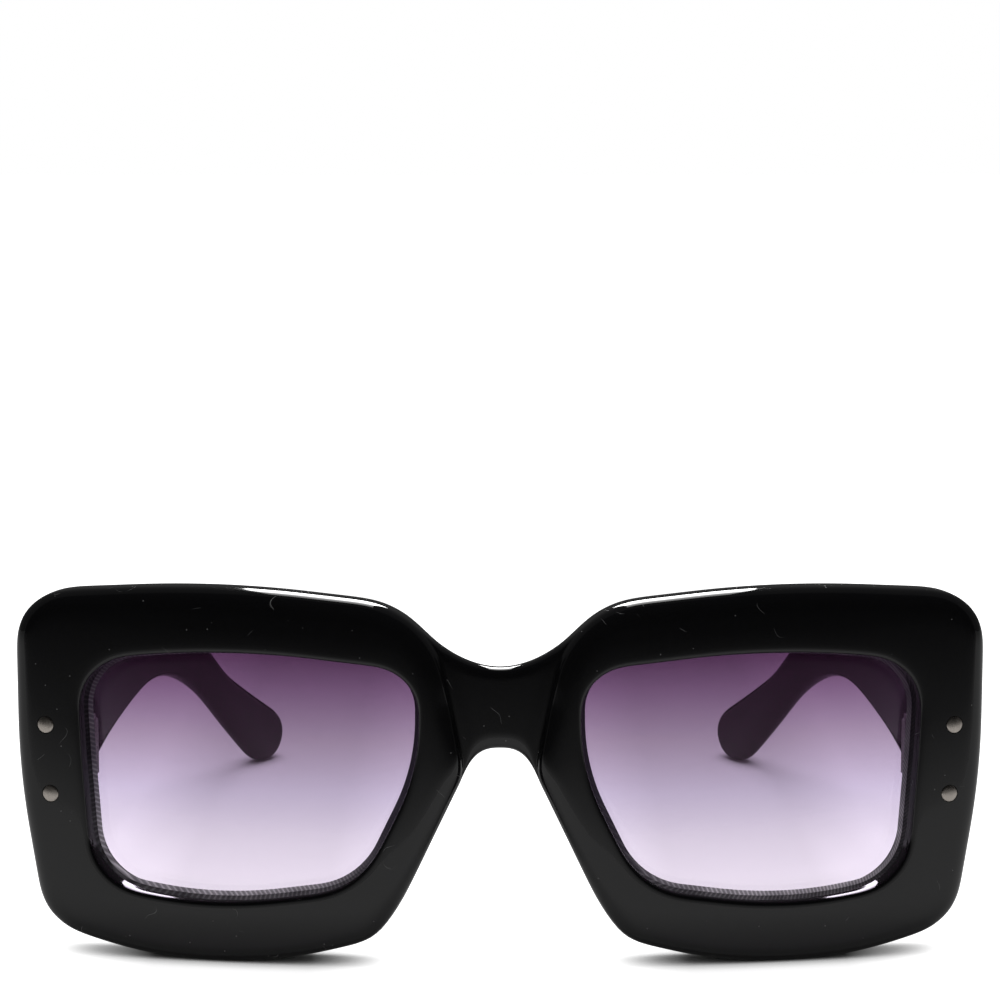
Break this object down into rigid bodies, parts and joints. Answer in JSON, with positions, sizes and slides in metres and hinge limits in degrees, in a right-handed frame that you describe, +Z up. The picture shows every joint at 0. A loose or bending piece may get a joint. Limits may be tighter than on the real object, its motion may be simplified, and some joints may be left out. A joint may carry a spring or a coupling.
{
  "type": "sunglasses",
  "caption": "Oversized sunglasses: thick square rims, tinted lenses, moulded nose pads and tall curved temples that fold on riveted hinges.",
  "frame": {"origin": "on the table, at the middle of the pair's footprint with the temples open", "axes": "+X to the viewer's right, which is the wearer's left; the front faces -Y and the temples reach towards +Y; +Z is up, square to the table on which the rims and the temple tips stand"},
  "size_m": [0.1482, 0.144, 0.0577],
  "materials": {
    "frame": "polished black acetate",
    "lens": "tinted, darker at the top",
    "hinge": "nickel silver",
    "rivet": "polished",
    "core": "plain wire"
  },
  "bodies": {
    "front": {"front_frame": "frame", "lens_left": "lens", "lens_right": "lens", "front_leaf_left": "hinge", "front_leaf_right": "hinge", "hinge_screw_left": "hinge", "hinge_screw_right": "hinge", "front_rivet_upper_left": "rivet", "front_rivet_lower_left": "rivet", "front_rivet_upper_right": "rivet", "front_rivet_lower_right": "rivet"},
    "temple_left": {"temple_left": "frame", "temple_leaf_left": "hinge", "temple_rivet_front_left": "rivet", "temple_rivet_rear_left": "rivet", "core_wire_left": "core"},
    "temple_right": {"temple_right": "frame", "temple_leaf_right": "hinge", "temple_rivet_front_right": "rivet", "temple_rivet_rear_right": "rivet", "core_wire_right": "core"}
  },
  "joints": [
    {"name": "temple_left_fold", "type": "hinge", "parent": "front", "child": "temple_left", "pos_m": [0.06406, -0.05388, 0.0304], "axis": [0, 0, 1], "range_deg": [0, 81]},
    {"name": "temple_right_fold", "type": "hinge", "parent": "front", "child": "temple_right", "pos_m": [-0.06406, -0.05388, 0.0304], "axis": [0, 0, -1], "range_deg": [0, 74.5]}
  ]
}
